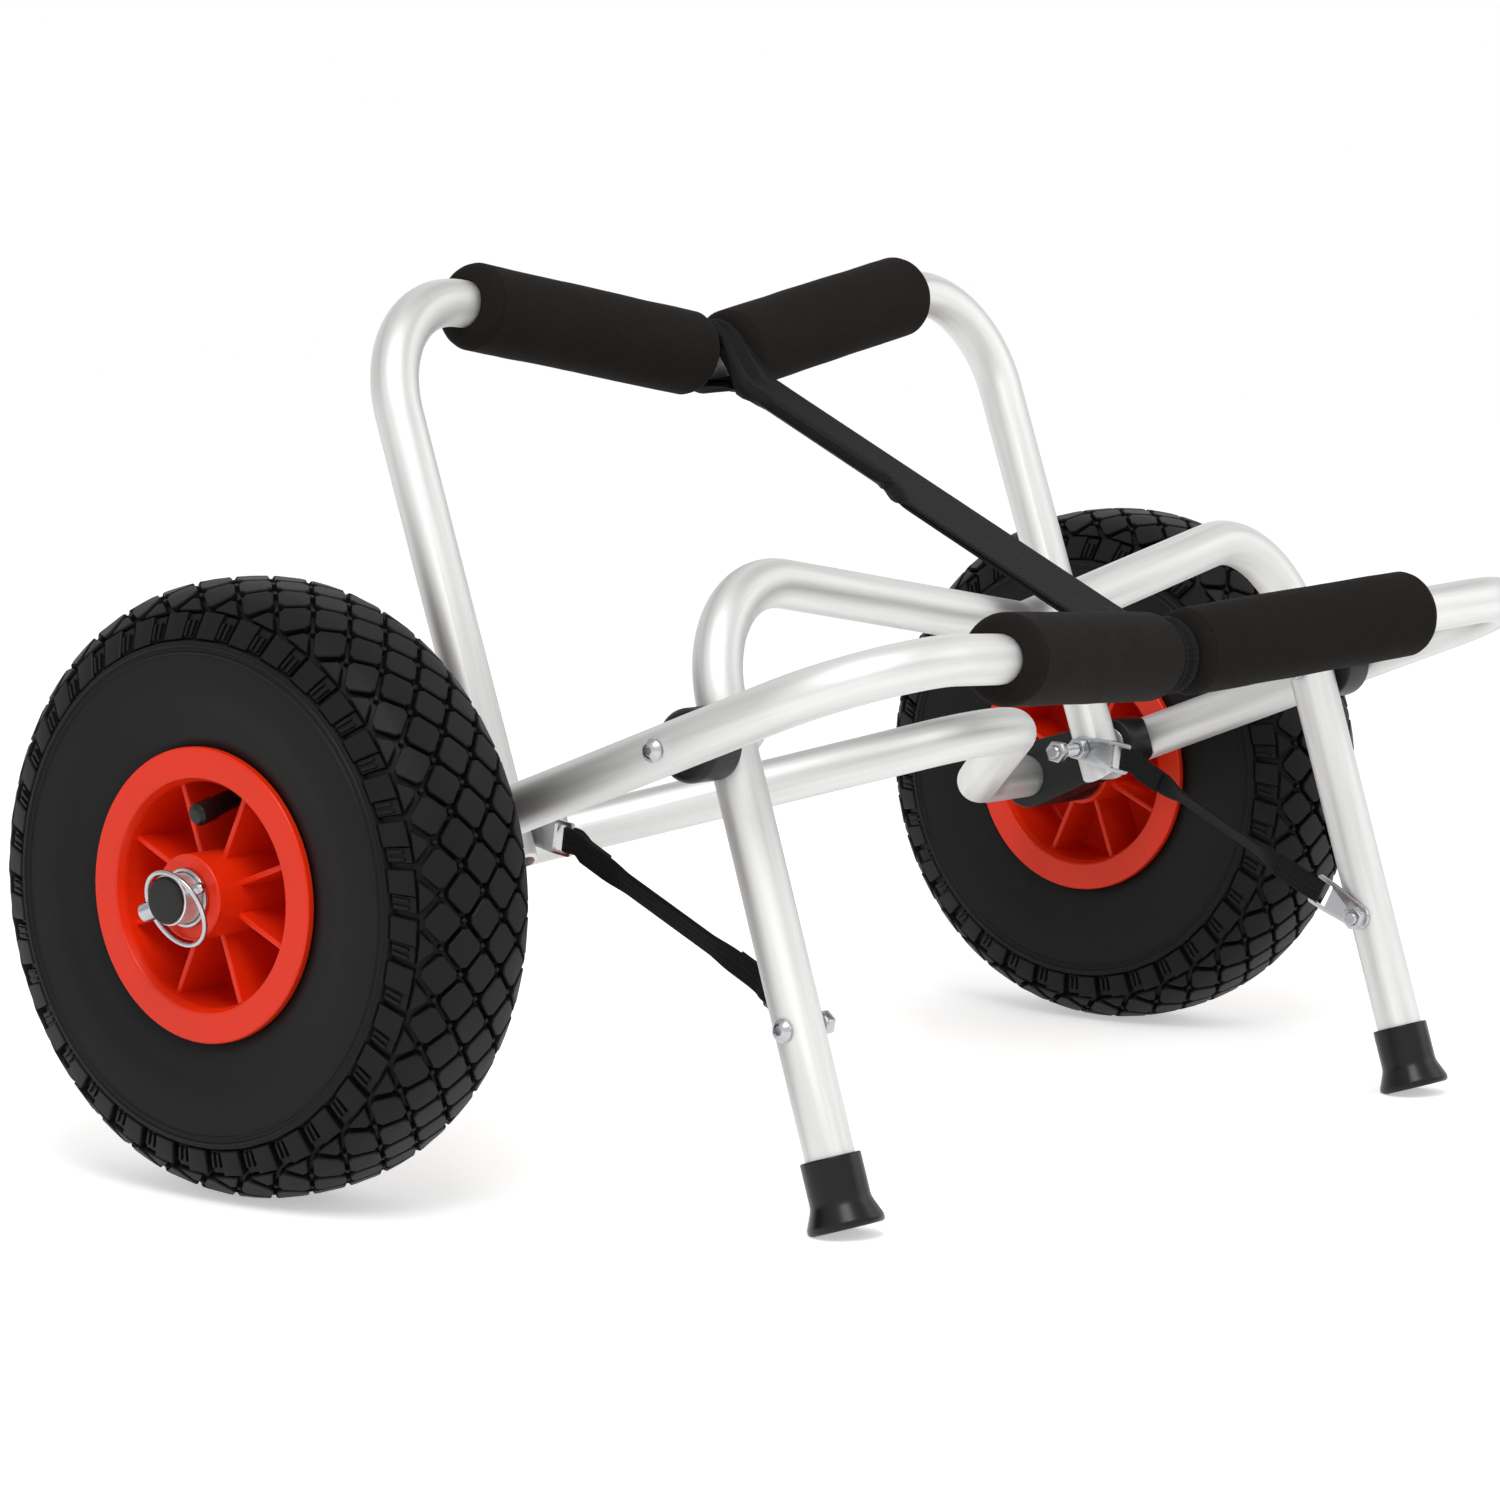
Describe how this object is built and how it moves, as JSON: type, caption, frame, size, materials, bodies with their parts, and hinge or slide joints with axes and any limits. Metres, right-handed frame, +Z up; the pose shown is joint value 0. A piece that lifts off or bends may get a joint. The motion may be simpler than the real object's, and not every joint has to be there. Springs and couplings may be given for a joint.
{
  "type": "kayak cart",
  "caption": "Folding cart for carrying a kayak: two padded V-shaped tube cradles on a bent axle with pneumatic wheels, held open by straps and a folding stand.",
  "frame": {"origin": "middle of the cart's footprint, on the ground", "axes": "+X along the axle, -Y towards the stand and the front frame's bar, +Z up"},
  "size_m": [0.7488, 0.4144, 0.3886],
  "materials": {
    "frame_tube": "satin anodised tube with fine draw lines",
    "foam": "closed-cell foam, matt with a fine open grain",
    "nylon": "moulded, lightly textured",
    "foot_rubber": "moulded, semi-matt",
    "tyre_rubber": "block tread, fine rings on the side walls",
    "rim_plastic": "glossy moulded plastic",
    "steel": "zinc-plated, smooth",
    "webbing": "woven polyester webbing"
  },
  "bodies": {
    "main_frame": {"front_frame_tube": "frame_tube", "axle_tube": "frame_tube", "front_pad_left": "foam", "front_pad_right": "foam", "axle_bracket_left": "nylon", "axle_bracket_right": "nylon", "stand_spacer_left": "nylon", "stand_spacer_right": "nylon", "axle_plug_left": "foot_rubber", "axle_plug_right": "foot_rubber", "pivot_washer_left": "steel", "pivot_washer_right": "steel", "rear_pivot_bolt_left": "steel", "rear_pivot_bolt_right": "steel", "rear_pivot_nut_left": "steel", "rear_pivot_nut_right": "steel", "rear_pivot_end_nut_left": "steel", "rear_pivot_end_nut_right": "steel", "stand_pivot_bolt_left": "steel", "stand_pivot_bolt_right": "steel", "stand_pivot_nut_left": "steel", "stand_pivot_nut_right": "steel", "strap_clip_upper_left": "steel", "strap_clip_upper_right": "steel", "hub_washer_left": "steel", "hub_washer_right": "steel", "lock_pin_left": "steel", "lock_pin_right": "steel", "stand_strap_left": "webbing", "stand_strap_right": "webbing", "cradle_strap": "webbing"},
    "rear_frame": {"rear_frame_tube": "frame_tube", "rear_pad_left": "foam", "rear_pad_right": "foam"},
    "stand": {"stand_tube": "frame_tube", "foot_cap_left": "foot_rubber", "foot_cap_right": "foot_rubber", "strap_clip_lower_left": "steel", "strap_clip_lower_right": "steel", "clip_bolt_left": "steel", "clip_bolt_right": "steel", "clip_nut_left": "steel", "clip_nut_right": "steel"},
    "wheel_left": {"tyre_left": "tyre_rubber", "inner_tube_left": "tyre_rubber", "rim_left": "rim_plastic", "valve_left": "foot_rubber"},
    "wheel_right": {"tyre_right": "tyre_rubber", "inner_tube_right": "tyre_rubber", "rim_right": "rim_plastic", "valve_right": "foot_rubber"},
    "lock_ring_left": {"lock_ring_left": "steel"},
    "lock_ring_right": {"lock_ring_right": "steel"}
  },
  "joints": [
    {"name": "rear_frame_fold", "type": "hinge", "parent": "main_frame", "child": "rear_frame", "pos_m": [0, 0.02596, 0.14989], "axis": [1, 0, 0], "range_deg": [0, 55], "deforming": ["cradle_strap"]},
    {"name": "stand_fold", "type": "hinge", "parent": "main_frame", "child": "stand", "pos_m": [0, -0.09664, 0.19744], "axis": [1, 0, 0], "range_deg": [0, 62], "deforming": ["stand_strap_left", "stand_strap_right"]},
    {"name": "wheel_left_spin", "type": "hinge", "parent": "main_frame", "child": "wheel_left", "pos_m": [-0.314, 0.07724, 0.13], "axis": [1, 0, 0], "continuous": true},
    {"name": "wheel_right_spin", "type": "hinge", "parent": "main_frame", "child": "wheel_right", "pos_m": [0.314, 0.07724, 0.13], "axis": [1, 0, 0], "continuous": true},
    {"name": "lock_ring_left_swing", "type": "hinge", "parent": "main_frame", "child": "lock_ring_left", "pos_m": [-0.365, 0.09133, 0.12402], "axis": [0.342, -0.1793, -0.9224], "range_deg": [0, 110]},
    {"name": "lock_ring_right_swing", "type": "hinge", "parent": "main_frame", "child": "lock_ring_right", "pos_m": [0.365, 0.09133, 0.12402], "axis": [0.342, 0.1793, 0.9224], "range_deg": [0, 110]}
  ]
}
